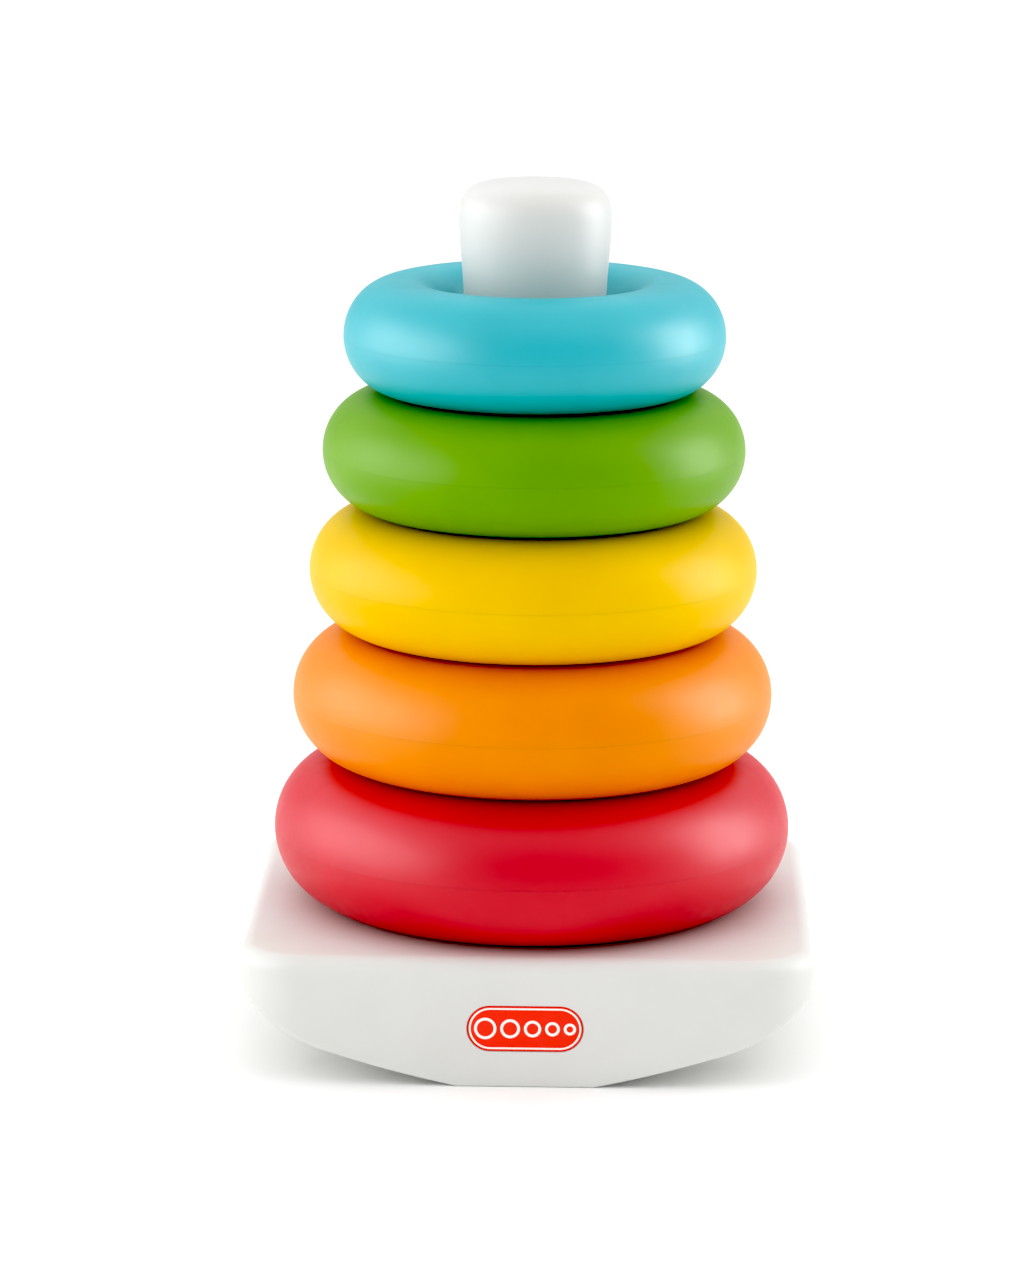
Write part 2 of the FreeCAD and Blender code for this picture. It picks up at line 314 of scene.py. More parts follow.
def shell_loops():
    """The shell's whole skin as loops: deck, walls, lip, inside, underside and post hole."""
    hole = POST_HOLE_RADIUS
    edge = DECK_EDGE_RADIUS
    wall = SHELL_WALL
    loops = [round_loop(hole + POST_HOLE_ROUND, DECK_TOP)]
    edge_top = at_height(plan_loop(edge), DECK_TOP)
    loops += between(loops[0], edge_top, steps=10)
    for turn in quarter_turns(steps=8):
        drop = edge * (1 - math.cos(turn))
        loops.append(at_height(plan_loop(edge * (1 - math.sin(turn))), DECK_TOP - drop))
    lip_start = over_rocker(plan_loop(0), LIP_RADIUS)
    loops += between(loops[-1], lip_start, steps=8)
    for turn in quarter_turns(steps=4):
        lip = over_rocker(plan_loop(LIP_RADIUS * (1 - math.cos(turn))), 0)
        loops.append([p + Vector((0, 0, LIP_RADIUS * (1 - math.sin(turn)))) for p in lip])
    for turn in quarter_turns(steps=4):
        lip = over_rocker(plan_loop(wall - LIP_RADIUS * (1 - math.sin(turn))), 0)
        loops.append([p + Vector((0, 0, LIP_RADIUS * (1 - math.cos(turn)))) for p in lip])
    inside_top = at_height(plan_loop(wall), DECK_UNDERSIDE - INNER_FILLET)
    loops += between(loops[-1], inside_top, steps=5)
    for turn in quarter_turns(steps=4):
        inset = wall + INNER_FILLET * (1 - math.cos(turn))
        height = DECK_UNDERSIDE - INNER_FILLET * (1 - math.sin(turn))
        loops.append(at_height(plan_loop(inset), height))
    underside_hole = round_loop(hole, DECK_UNDERSIDE)
    loops += between(loops[-1], underside_hole, steps=6)
    loops.append(underside_hole)
    for turn in quarter_turns(steps=3):
        radius = hole + POST_HOLE_ROUND * (1 - math.cos(turn))
        loops.append(round_loop(radius, DECK_TOP - POST_HOLE_ROUND * (1 - math.sin(turn))))
    return loops[:-1]


def shell_underworks():
    """Ribs, collar, post keys and screw bosses, which hang from the deck's underside."""
    work = bmesh.new()
    sunk = DECK_UNDERSIDE + JOIN_DEPTH
    low = DECK_UNDERSIDE - RIB_DEPTH
    collar_outer = COLLAR_RADIUS + RIB_THICKNESS
    half_rib = RIB_THICKNESS / 2
    inner_y = HALF_DEPTH - SHELL_WALL + JOIN_DEPTH
    inner_x = HALF_WIDTH - SHELL_WALL + JOIN_DEPTH
    half_key = KEY_WIDTH / 2
    key_bottom = DECK_UNDERSIDE - FLANGE_THICKNESS
    start = COLLAR_RADIUS + half_rib
    for side in (-1, 1):
        near, far = sorted((side * start, side * inner_y))
        add_box(work, (-half_rib, near, low), (half_rib, far, sunk))
        stations = spaced(start, inner_x, RIB_STEPS) + [inner_x]
        under = [(side * x, max(low, rocker_height(x) + COVER_ROOM)) for x in stations]
        outline = under + [(side * inner_x, sunk), (side * start, sunk)]
        add_prism(work, outline, 0, -half_rib, half_rib)
        near, far = sorted((side * KEY_REACH, side * start))
        add_box(work, (near, -half_key, key_bottom), (far, half_key, sunk))
    add_tube(work, 0, 0, collar_outer, COLLAR_RADIUS, low, sunk, steps=96)
    for x, y in SCREW_PLACES:
        add_tube(work, x, y, BOSS_RADIUS, 0, BOSS_BOTTOM, sunk)
    return solid_from("underworks", work)


def shell_cuts():
    """What is cut out of the shell: the screws' pilot holes and the label's recess."""
    work = bmesh.new()
    pilot_bottom = BOSS_BOTTOM - CUT_OVERRUN
    for x, y in SCREW_PLACES:
        add_tube(work, x, y, PILOT_RADIUS, 0, pilot_bottom, BOSS_BOTTOM + PILOT_DEPTH, steps=32)
    width = label_high.x - label_low.x + 2 * LABEL_GAP
    height = label_high.z - label_low.z + 2 * LABEL_GAP
    centre = (label_high.z + label_low.z) / 2
    outline = stadium(width, height, steps=32)
    add_prism(work, outline, centre, -HALF_DEPTH - CUT_OVERRUN, -HALF_DEPTH + LABEL_RECESS)
    return solid_from("cuts", work)


def set_inputs(tree, node, inputs):
    """Sets a node's inputs to values, or links them to other nodes' outputs."""
    for name, value in inputs.items():
        socket = node.inputs[name]
        if isinstance(value, bpy.types.NodeSocket):
            tree.links.new(value, socket)
        else:
            socket.default_value = value


def add_node(tree, kind, inputs=None, **settings):
    """A node with its settings and its inputs."""
    node = tree.nodes.new(kind)
    for name, value in settings.items():
        setattr(node, name, value)
    set_inputs(tree, node, inputs or {})
    return node


def linear(colour):
    """A display colour, 0 to 255, as linear light with full alpha."""
    parts = [part / 255 for part in colour]
    return (*[p / 12.92 if p <= 0.04045 else ((p + 0.055) / 1.055) ** 2.4 for p in parts], 1)


def noise(tree, place, scale, detail=2.0, roughness=0.5):
    """A smooth random value from 0 to 1 that changes from place to place."""
    inputs = {"Vector": place, "Scale": scale, "Detail": detail, "Roughness": roughness}
    return add_node(tree, "ShaderNodeTexNoise", inputs).outputs["Fac"]


def ranged(tree, value, start, end, low, high):
    """The value with its stretch from start to end drawn out to run from low to high."""
    inputs = {"Value": value, "From Min": start, "From Max": end, "To Min": low, "To Max": high}
    return add_node(tree, "ShaderNodeMapRange", inputs).outputs["Result"]


def relief(tree, height, strength, distance, under=None):
    """Small bumps from a height, on top of other bumps if under is given."""
    inputs = {"Strength": strength, "Distance": distance, "Height": height}
    if under is not None:
        inputs["Normal"] = under
    return add_node(tree, "ShaderNodeBump", inputs).outputs["Normal"]


def new_finish(name):
    """A new material, with its tree, its shader and the piece's own coordinates."""
    material = bpy.data.materials.new(name)
    material.use_nodes = True
    tree = material.node_tree
    place = add_node(tree, "ShaderNodeTexCoord").outputs["Object"]
    return material, tree, tree.nodes["Principled BSDF"], place


def satin_plastic(name, colour, deep_colour, roughness, glow, gloss, grain=1.0):
    """Moulded plastic: a faintly clouded colour, a slow ripple and a fine spark-eroded grain."""
    material, tree, shader, place = new_finish(name)

    clouds = noise(tree, place, scale=42.0, detail=3.0)
    patchy = ranged(tree, clouds, 0.3, 0.7, 0.0, 1.0)
    tint = add_node(tree, "ShaderNodeMix", {"Factor": patchy}, data_type="RGBA")
    for socket in tint.inputs:
        if socket.type == "RGBA":
            socket.default_value = linear(deep_colour if socket.name == "A" else colour)
    tinted = [output for output in tint.outputs if output.type == "RGBA"][0]

    wear = noise(tree, place, scale=260.0, detail=4.0, roughness=0.6)
    rubbed = ranged(tree, wear, 0.25, 0.75, roughness - 0.035, roughness + 0.045)

    ripple = noise(tree, place, scale=75.0, detail=1.0)
    eroded = noise(tree, place, scale=2100.0, detail=2.0, roughness=0.7)
    slow = relief(tree, ripple, strength=0.35, distance=0.25 * MM)
    fine = relief(tree, eroded, strength=0.30 * grain, distance=0.035 * MM, under=slow)

    red, green, blue, _ = linear(colour)
    set_inputs(tree, shader, {
        "Base Color": tinted,
        "Roughness": rubbed,
        "Normal": fine,
        "IOR": 1.5,
        "Specular IOR Level": gloss,
        "Subsurface Weight": glow,
        "Subsurface Scale": GLOW_DEPTH,
        "Subsurface Radius": (GLOW_SPREAD + red, GLOW_SPREAD + green, GLOW_SPREAD + blue),
    })
    return material


def coat_with(piece, material):
    """Gives the piece that material all over."""
    piece.data.materials.clear()
    piece.data.materials.append(material)


base_white = satin_plastic(
    "white polypropylene", BASE_WHITE, BASE_WHITE_DEEP, roughness=0.46, glow=0.25, gloss=0.26
)

base_shell = new_piece("base_shell_moulding", loft("base_shell_moulding", shell_loops(), closed=True))
clean_faces(base_shell.data)
combine(base_shell, shell_underworks(), "UNION", overlapping=True)
combine(base_shell, shell_cuts(), "DIFFERENCE")
coat_with(base_shell, base_white)
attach(base_shell, "base")
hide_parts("base_shell")


# --- bottom cover ---------------------------------------------------------------------------
# The second white moulding, a plate curved to the rocker that closes the base from below. It
# has a sunk cup for each screw and an upright seat that holds the post's flange against the
# deck. It has a plainer, rougher tool finish than the parts that show.

COVER_WHITE = (214, 215, 211)
COVER_WHITE_DEEP = (208, 209, 205)

cover_white = satin_plastic(
    "cover polypropylene", COVER_WHITE, COVER_WHITE_DEEP,
    roughness=0.5, glow=0.2, gloss=0.4, grain=1.6,
)
coat_with(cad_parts["bottom_cover"], cover_white)


# --- base screws ----------------------------------------------------------------------------
# Four zinc-plated pan head screws with a cross drive, driven up through the cover's cups into
# the shell's bosses. Each has stopped at its own angle.

SCREW_SEAT = 11.2 * MM
SCREW_HEAD_HEIGHT = 2.2 * MM
SCREW_HEAD_ROUND = 1.0 * MM
SCREW_TIP = cups_high.z
THREAD_CREST = 1.5 * MM
THREAD_ROOT = 1.12 * MM
THREAD_PITCH = 1.25 * MM
THREAD_START = 1.2 * MM
THREAD_END = 1.4 * MM
TIP_LENGTH = 0.9 * MM
TIP_RADIUS = 0.2 * MM
DRIVE_LENGTH = 3.2 * MM
DRIVE_WIDTH = 0.9 * MM
DRIVE_DEPTH = 1.3 * MM
DRIVE_MOUTH_SHARE = 0.54
DRIVE_FLOOR_SHARE = 0.22
DRIVE_OVERRUN = 0.1 * MM
SCREW_TURN_SEED = 3
SCREW_COLOUR = (176, 178, 182)


def lathe(name, outline, steps):
    """A mesh turned about Z from an (r, z) outline, closed where the outline meets the axis."""
    turns = spaced(0, 2 * math.pi, steps)
    loops = [
        [Vector((radius * math.cos(a), radius * math.sin(a), height)) for a in turns]
        for radius, height in outline
    ]
    mesh = loft(name, loops, closed=False)
    clean_faces(mesh)
    return mesh


def screw_outline():
    """Half the screw in section, head down: head, shank with thread ridges, and tip."""
    under = SCREW_SEAT - SCREW_HEAD_HEIGHT
    outline = [(0, under)]
    for turn in quarter_turns(steps=6):
        radius = SCREW_HEAD_RADIUS - SCREW_HEAD_ROUND * (1 - math.sin(turn))
        outline.append((radius, under + SCREW_HEAD_ROUND * (1 - math.cos(turn))))
    outline += [(SCREW_HEAD_RADIUS, SCREW_SEAT), (THREAD_ROOT, SCREW_SEAT)]
    height = SCREW_SEAT + THREAD_START
    while height < SCREW_TIP - THREAD_END:
        outline.append((THREAD_ROOT, height))
        outline.append((THREAD_CREST, height + 0.28 * THREAD_PITCH))
        outline.append((THREAD_CREST, height + 0.36 * THREAD_PITCH))
        outline.append((THREAD_ROOT, height + 0.64 * THREAD_PITCH))
        height += THREAD_PITCH
    outline += [(THREAD_ROOT, SCREW_TIP - TIP_LENGTH), (TIP_RADIUS, SCREW_TIP), (0, SCREW_TIP)]
    return outline


def drive_cross():
    """The tapered cross that the driver's point leaves in the head."""
    work = bmesh.new()
    under = SCREW_SEAT - SCREW_HEAD_HEIGHT
    levels = (
        (DRIVE_MOUTH_SHARE, under - DRIVE_OVERRUN),
        (DRIVE_FLOOR_SHARE, under + DRIVE_DEPTH),
    )
    for long_x, long_y in ((DRIVE_LENGTH, DRIVE_WIDTH), (DRIVE_WIDTH, DRIVE_LENGTH)):
        corners = [(-long_x, -long_y), (long_x, -long_y), (long_x, long_y), (-long_x, long_y)]
        mouth, floor = [
            [work.verts.new((x * share, y * share, height)) for x, y in corners]
            for share, height in levels
        ]
        work.faces.new(mouth)
        work.faces.new(floor[::-1])
        join_loops(work, mouth, floor)
    return solid_from("drive cross", work)


def geometry_tree(name, numbers, counts):
    """An empty geometry tree with those named inputs; returns it with its input and output nodes."""
    tree = bpy.data.node_groups.new(name, "GeometryNodeTree")
    tree.is_modifier = True
    tree.interface.new_socket(name="Geometry", in_out="OUTPUT", socket_type="NodeSocketGeometry")
    inputs = [("Geometry", "NodeSocketGeometry")]
    inputs += [(label, "NodeSocketFloat") for label in numbers]
    inputs += [(label, "NodeSocketInt") for label in counts]
    inputs.append(("Material", "NodeSocketMaterial"))
    for label, kind in inputs:
        tree.interface.new_socket(name=label, in_out="INPUT", socket_type=kind)
    return tree, add_node(tree, "NodeGroupInput"), add_node(tree, "NodeGroupOutput")


def end_tree(tree, made, material, result):
    """Ends a geometry tree: what was made, as real mesh with its material, is its result."""
    real = add_node(tree, "GeometryNodeRealizeInstances", {"Geometry": made})
    inputs = {"Geometry": real.outputs["Geometry"], "Material": material}
    finished = add_node(tree, "GeometryNodeSetMaterial", inputs)
    set_inputs(tree, result, {"Geometry": finished.outputs["Geometry"]})


def run_tree(piece, tree, sizes):
    """Adds the tree to the piece as a modifier, with its inputs set by name."""
    modifier = piece.modifiers.new(tree.name, "NODES")
    modifier.node_group = tree
    for socket in tree.interface.items_tree:
        if socket.in_out == "INPUT" and socket.name in sizes:
            modifier[socket.identifier] = sizes[socket.name]


def spread_tree():
    """Geometry nodes: a copy of the mesh on each corner of a rectangle, each at its own angle."""
    tree, given, result = geometry_tree("spread over corners", ["Across", "Deep"], ["Seed"])
    given = given.outputs
    grid = {"Size X": given["Across"], "Size Y": given["Deep"], "Vertices X": 2, "Vertices Y": 2}
    corners = add_node(tree, "GeometryNodeMeshGrid", grid)
    turn = add_node(tree, "FunctionNodeRandomValue", {"Seed": given["Seed"]}, data_type="FLOAT")
    for socket in turn.inputs:
        if socket.type == "VALUE" and socket.name == "Max":
            socket.default_value = math.pi / 2
    angle = [output for output in turn.outputs if output.type == "VALUE"][0]
    about_z = add_node(tree, "ShaderNodeCombineXYZ", {"Z": angle})
    copies = add_node(
        tree, "GeometryNodeInstanceOnPoints",
        {
            "Points": corners.outputs["Mesh"],
            "Instance": given["Geometry"],
            "Rotation": about_z.outputs["Vector"],
        },
    )
    end_tree(tree, copies.outputs["Instances"], given["Material"], result)
    return tree


def zinc_plate(name, colour):
    """Bright zinc plate: metal with a fine tumbled grain and faint cloudy dulling."""
    material, tree, shader, place = new_finish(name)
    dulling = noise(tree, place, scale=900.0, detail=3.0, roughness=0.6)
    grain = noise(tree, place, scale=3500.0, detail=2.0)
    set_inputs(tree, shader, {
        "Base Color": linear(colour),
        "Metallic": 1.0,
        "Roughness": ranged(tree, dulling, 0.3, 0.7, 0.22, 0.38),
        "Normal": relief(tree, grain, strength=0.3, distance=0.02 * MM),
    })
    return material


screw_zinc = zinc_plate("zinc plate", SCREW_COLOUR)
screws = new_piece("cover_screws", lathe("cover_screws", screw_outline(), steps=48))
combine(screws, drive_cross(), "DIFFERENCE", overlapping=True)
run_tree(
    screws, spread_tree(),
    {
        "Across": 2 * abs(SCREW_PLACES[0][0]),
        "Deep": 2 * abs(SCREW_PLACES[0][1]),
        "Seed": SCREW_TURN_SEED,
        "Material": screw_zinc,
    },
)
settle(screws, 30)
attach(screws, "base")
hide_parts("base_screws")


# --- post -----------------------------------------------------------------------------------
# A hollow white polyethylene post with a wide flange at its foot, trapped between the deck and
# the cover's seat. Its neck is straight where the rings sit, and its head swells a little and
# closes in a soft, nearly flat crown.

post_low, post_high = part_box("post")
POST_FOOT = post_low.z
POST_TOP = post_high.z
FLANGE_RADIUS = post_high.y
FLANGE_TOP = POST_FOOT + FLANGE_THICKNESS
NECK_RADIUS = 16.0 * MM
HEAD_RADIUS = 17.1 * MM
HEAD_START = 166.0 * MM
HEAD_WIDEST = 185.15 * MM
HEAD_PULL = 20.1 * MM
SHOULDER_PULL = 14.25 * MM
CROWN_PULL = (-14.4 * MM, 1.2 * MM)
CROWN_RADIUS = 10.15 * MM
CROWN_RISE = 0.42 * MM
POST_WALL = 2.4 * MM
FOOT_FILLET = 0.6 * MM
FOOT_STEPS = 4
NECK_STEPS = 30
CROWN_STEPS = 8
FLANGE_RIM = 0.4 * MM
NOTCH_WIDTH = 4.4 * MM
NOTCH_START = 20.3 * MM
NOTCH_END = 30.0 * MM
POST_WHITE = (219, 219, 217)
POST_WHITE_DEEP = (215, 215, 212)


def eased(start, start_pull, end, end_pull, steps):
    """Points along a cubic that leaves start and reaches end with those pulls."""
    points = []
    for step in range(1, steps + 1):
        t = step / steps
        weights = (2 * t**3 - 3 * t**2 + 1, t**3 - 2 * t**2 + t, 3 * t**2 - 2 * t**3, t**3 - t**2)
        sides = zip(start, start_pull, end, end_pull)
        points.append(tuple(sum(w * v for w, v in zip(weights, four)) for four in sides))
    return points


def post_skin():
    """The post's outside in section, from the flange's top edge up to the crown on the axis."""
    skin = [(FLANGE_RADIUS - FLANGE_RIM, FLANGE_TOP)]
    for turn in quarter_turns(FOOT_STEPS):
        radius = NECK_RADIUS + FOOT_FILLET * (1 - math.sin(turn))
        skin.append((radius, FLANGE_TOP + FOOT_FILLET * (1 - math.cos(turn))))
    foot_top = skin[-1][1]
    for step in range(1, NECK_STEPS + 1):
        skin.append((NECK_RADIUS, foot_top + (HEAD_START - foot_top) * step / NECK_STEPS))
    widest = (HEAD_RADIUS, HEAD_WIDEST)
    crown_edge = (CROWN_RADIUS, POST_TOP - CROWN_RISE)
    skin += eased(skin[-1], (0, HEAD_PULL), widest, (0, HEAD_PULL), steps=16)
    skin += eased(widest, (0, SHOULDER_PULL), crown_edge, CROWN_PULL, steps=24)
    dome = (CROWN_RADIUS**2 + CROWN_RISE**2) / (2 * CROWN_RISE)
    for step in range(1, CROWN_STEPS + 1):
        radius = CROWN_RADIUS * (1 - step / CROWN_STEPS)
        skin.append((radius, POST_TOP - dome + math.sqrt(dome**2 - radius**2)))
    return skin


def drawn_in(outline, depth):
    """An outline moved inwards along its own normals, kept off the axis's far side."""
    moved = []
    for index, (radius, height) in enumerate(outline):
        before = outline[max(index - 1, 0)]
        after = outline[min(index + 1, len(outline) - 1)]
        along_r = after[0] - before[0]
        along_z = after[1] - before[1]
        length = math.hypot(along_r, along_z)
        new_radius = max(radius - depth * along_z / length, 0)
        moved.append((new_radius, height + depth * along_r / length))
    return moved


def post_outline():
    """The whole post in section: inside from the crown down, foot, and outside up again."""
    skin = post_skin()
    inside_top = POST_TOP - POST_WALL
    above_foot = skin[FOOT_STEPS + 2:-1]
    inside = drawn_in(above_foot, POST_WALL) + [(0, inside_top)]
    inside = [(radius, height) for radius, height in inside if height <= inside_top]
    bore = NECK_RADIUS - POST_WALL
    rim = FLANGE_RIM
    foot = [
        (bore, POST_FOOT + rim),
        (bore + rim, POST_FOOT),
        (FLANGE_RADIUS - rim, POST_FOOT),
        (FLANGE_RADIUS, POST_FOOT + rim),
        (FLANGE_RADIUS, FLANGE_TOP - rim),
    ]
    return inside[::-1] + foot + skin


def flange_notches():
    """The two notches in the flange that keep the post from turning."""
    work = bmesh.new()
    half = NOTCH_WIDTH / 2
    low = POST_FOOT - CUT_OVERRUN
    high = FLANGE_TOP + CUT_OVERRUN
    for side in (-1, 1):
        near, far = sorted((side * NOTCH_START, side * NOTCH_END))
        add_box(work, (near, -half, low), (far, half, high))
    return solid_from("notches", work)


post_white = satin_plastic(
    "white polyethylene", POST_WHITE, POST_WHITE_DEEP, roughness=0.42, glow=0.35, gloss=0.4
)
post = new_piece("centre_post", lathe("centre_post", post_outline(), steps=128))
combine(post, flange_notches(), "DIFFERENCE")
coat_with(post, post_white)
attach(post, "base")
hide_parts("post")


# --- front label ----------------------------------------------------------------------------
# A round-ended printed film label stuck in the recess of the front wall: red with a fine white
# border and a plain row of five rings, from the largest to the smallest.

LABEL_RED = (240, 44, 22)
LABEL_INK = (244, 244, 240)
LABEL_ROUGHNESS = 0.38
LABEL_EDGE = 0.12 * MM
INK_RAISE = 0.04 * MM
BORDER_INSET = 0.45 * MM
BORDER_WIDTH = 0.4 * MM
MARK_COUNT = 5
MARK_LARGEST = 4.9 * MM
MARK_SHRINK = 0.55 * MM
MARK_GAP = 0.85 * MM
MARK_STROKE = 0.62 * MM

label_width = label_high.x - label_low.x
label_height = label_high.z - label_low.z
label_middle = (label_high.z + label_low.z) / 2
label_front = label_low.y
label_back = label_high.y


def printed_film(name, colour, roughness):
    """Printed film: a flat ink colour with faint ink mottle under a thin clear layer."""
    material, tree, shader, place = new_finish(name)
    mottle = noise(tree, place, scale=1500.0, detail=2.0)
    level = ranged(tree, mottle, 0.3, 0.7, 0.96, 1.03)
    ink_node = add_node(
        tree, "ShaderNodeHueSaturation", {"Value": level, "Color": linear(colour)}
    )
    wear = noise(tree, place, scale=700.0, detail=3.0)
    peel = noise(tree, place, scale=350.0, detail=1.0)
    set_inputs(tree, shader, {
        "Base Color": ink_node.outputs["Color"],
        "Roughness": ranged(tree, wear, 0.3, 0.7, roughness - 0.05, roughness + 0.05),
        "Normal": relief(tree, peel, strength=0.2, distance=0.02 * MM),
        "Coat Weight": 0.3,
        "Coat Roughness": 0.2,
    })
    return material


def add_band(work, outer, inner, centre_x, centre_z, front, back):
    """A closed band between two (x, z) outlines of the same count, raised from back to front."""
    loops = [
        [work.verts.new((centre_x + x, y, centre_z + z)) for x, z in outline]
        for outline, y in ((outer, back), (outer, front), (inner, front), (inner, back))
    ]
    for here, there in zip(loops, loops[1:] + loops[:1]):
        join_loops(work, here, there)


def circle_outline(radius, steps):
    """A circle about the origin, counterclockwise, as (x, z)."""
    return [(radius * math.cos(a), radius * math.sin(a)) for a in spaced(0, 2 * math.pi, steps)]


def label_outline(inset):
    """The label's round-ended outline drawn in by inset."""
    return stadium(label_width - 2 * inset, label_height - 2 * inset, steps=32)


def label_plate():
    """The film itself, with its front edge rounded over."""
    work = bmesh.new()
    levels = [(0, label_back), (0, label_front + LABEL_EDGE)]
    for turn in quarter_turns(steps=3)[1:]:
        inset = LABEL_EDGE * (1 - math.cos(turn))
        levels.append((inset, label_front + LABEL_EDGE * (1 - math.sin(turn))))
    loops = [
        [work.verts.new((x, y, label_middle + z)) for x, z in label_outline(inset)]
        for inset, y in levels
    ]
    for here, there in zip(loops, loops[1:]):
        join_loops(work, here, there)
    work.faces.new(loops[0])
    work.faces.new(loops[-1])
    return solid_from("label_film", work)


def label_print():
    """The white ink: the border and the row of shrinking rings."""
    work = bmesh.new()
    front = label_front - INK_RAISE
    back = label_front + INK_RAISE
    border = label_outline(BORDER_INSET)
    border_hole = label_outline(BORDER_INSET + BORDER_WIDTH)
    add_band(work, border, border_hole, 0, label_middle, front, back)
    widths = [MARK_LARGEST - MARK_SHRINK * step for step in range(MARK_COUNT)]
    x = -(sum(widths) + (MARK_COUNT - 1) * MARK_GAP) / 2
    for width in widths:
        radius = width / 2
        ring = circle_outline(radius, steps=48)
        hole = circle_outline(radius - MARK_STROKE, steps=48)
        add_band(work, ring, hole, x + radius, label_middle, front, back)
        x += width + MARK_GAP
    return solid_from("label_ink", work)


film = label_plate()
ink = label_print()
for piece, colour in ((film, LABEL_RED), (ink, LABEL_INK)):
    coat_with(piece, printed_film(piece.name, colour, LABEL_ROUGHNESS))
    piece.data.shade_smooth()
    piece.data.set_sharp_from_angle(angle=math.radians(40))
    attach(piece, "base")
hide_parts("front_label")


# --- rings ----------------------------------------------------------------------------------
# Five hollow polyethylene rings, the largest at the bottom. Each is two half shells welded
# round the middle, with only a hairline to show for it. In section a half is two quarter
# ellipses joined by a short flat, where the rings rest on one another.

RING_WALL = 2.2 * MM
HOLE_RADIUS = 19.3 * MM
INNER_SHOULDER = 0.72
WELD_EDGE = 0.03 * MM
RING_ROUGHNESS = 0.44
RING_GLOW = 0.2
STEPS_ACROSS = 49
STEPS_AROUND = 193
MERGE_DISTANCE = 0.001 * MM

# Each half stops this far short of where the next ring begins, so no two faces lie together.
REST_GAP = 0.02 * MM

# Where the outer curve ends and the inner one begins, as shares of the steps across.
OUTER_CURVE_END = 0.44
INNER_CURVE_START = 0.58

# Name, outer shoulder as a share of the half height, the plastic's colour, the deeper colour
# that it clouds to, and its gloss.
RINGS = [
    ("red", 0.947, (207, 38, 53), (200, 34, 49), 0.56),
    ("orange", 0.960, (235, 141, 33), (229, 134, 30), 0.38),
    ("yellow", 0.986, (234, 191, 7), (228, 184, 6), 0.26),
    ("green", 0.989, (110, 164, 7), (103, 157, 6), 0.40),
    ("blue", 0.933, (46, 178, 191), (38, 171, 184), 0.75),
]


def maths(tree, operation, first, second=0.0):
    """A value worked out from two others, each a number or a node's output."""
    return add_node(tree, "ShaderNodeMath", {0: first, 1: second}, operation=operation).outputs[0]


def ring_half_tree():
    """Geometry nodes: the outer skin of half a ring, from a grid bent round the post."""
    numbers = [
        "Outer radius", "Hole radius", "Half height", "Outer shoulder", "Inner shoulder",
        "Weld height", "Side",
    ]
    tree, given, result = geometry_tree("ring half", numbers, ["Steps across", "Steps around"])
    size = given.outputs
    grid = add_node(
        tree, "GeometryNodeMeshGrid",
        {
            "Size X": 1.0,
            "Size Y": 1.0,
            "Vertices X": size["Steps across"],
            "Vertices Y": size["Steps around"],
        },
    )
    place = add_node(tree, "ShaderNodeSeparateXYZ", {0: grid.outputs["UV Map"]})
    across = place.outputs["X"]
    around = maths(tree, "MULTIPLY", place.outputs["Y"], 2 * math.pi)

    outer_turn = ranged(tree, across, 0.0, OUTER_CURVE_END, 0.0, math.pi / 2)
    crest = ranged(tree, across, OUTER_CURVE_END, INNER_CURVE_START, 0.0, 1.0)
    inner_turn = ranged(tree, across, INNER_CURVE_START, 1.0, 0.0, math.pi / 2)

    outer_in = maths(tree, "SUBTRACT", 1.0, maths(tree, "COSINE", outer_turn))
    outer_in = maths(tree, "MULTIPLY", outer_in, size["Outer shoulder"])
    inner_in = maths(tree, "MULTIPLY", maths(tree, "SINE", inner_turn), size["Inner shoulder"])
    flat = maths(tree, "SUBTRACT", size["Outer radius"], size["Hole radius"])
    flat = maths(tree, "SUBTRACT", flat, size["Outer shoulder"])
    flat = maths(tree, "SUBTRACT", flat, size["Inner shoulder"])
    crest_in = maths(tree, "MULTIPLY", flat, crest)
    inward = maths(tree, "ADD", maths(tree, "ADD", outer_in, inner_in), crest_in)
    radius = maths(tree, "SUBTRACT", size["Outer radius"], inward)

    rise = maths(tree, "MULTIPLY", maths(tree, "SINE", outer_turn), maths(tree, "COSINE", inner_turn))
    rise = maths(tree, "MULTIPLY", maths(tree, "MULTIPLY", rise, size["Half height"]), size["Side"])
    height = maths(tree, "ADD", rise, size["Weld height"])

    spot = add_node(
        tree, "ShaderNodeCombineXYZ",
        {
            "X": maths(tree, "MULTIPLY", radius, maths(tree, "COSINE", around)),
            "Y": maths(tree, "MULTIPLY", radius, maths(tree, "SINE", around)),
            "Z": height,
        },
    )
    bent = add_node(
        tree, "GeometryNodeSetPosition",
        {"Geometry": grid.outputs["Mesh"], "Position": spot.outputs["Vector"]},
    )
    closed = add_node(
        tree, "GeometryNodeMergeByDistance",
        {"Geometry": bent.outputs["Geometry"], "Distance": MERGE_DISTANCE},
    )
    upper = maths(tree, "GREATER_THAN", size["Side"], 0.0)
    outward = add_node(
        tree, "GeometryNodeFlipFaces", {"Mesh": closed.outputs["Geometry"], "Selection": upper}
    )
    end_tree(tree, outward.outputs["Mesh"], size["Material"], result)
    return tree


def ring_half(name, tree, sizes):
    """A half shell: the tree's skin, given its wall and a hairline edge at the weld."""
    piece = new_piece(name, bpy.data.meshes.new(name))
    run_tree(piece, tree, sizes)
    wall = piece.modifiers.new("wall", "SOLIDIFY")
    wall.thickness = RING_WALL
    wall.offset = -1
    wall.use_even_offset = True
    edge = piece.modifiers.new("weld edge", "BEVEL")
    edge.limit_method = "ANGLE"
    edge.angle_limit = math.radians(60)
    edge.width = WELD_EDGE
    edge.segments = 2
    settle(piece, 20)
    return piece


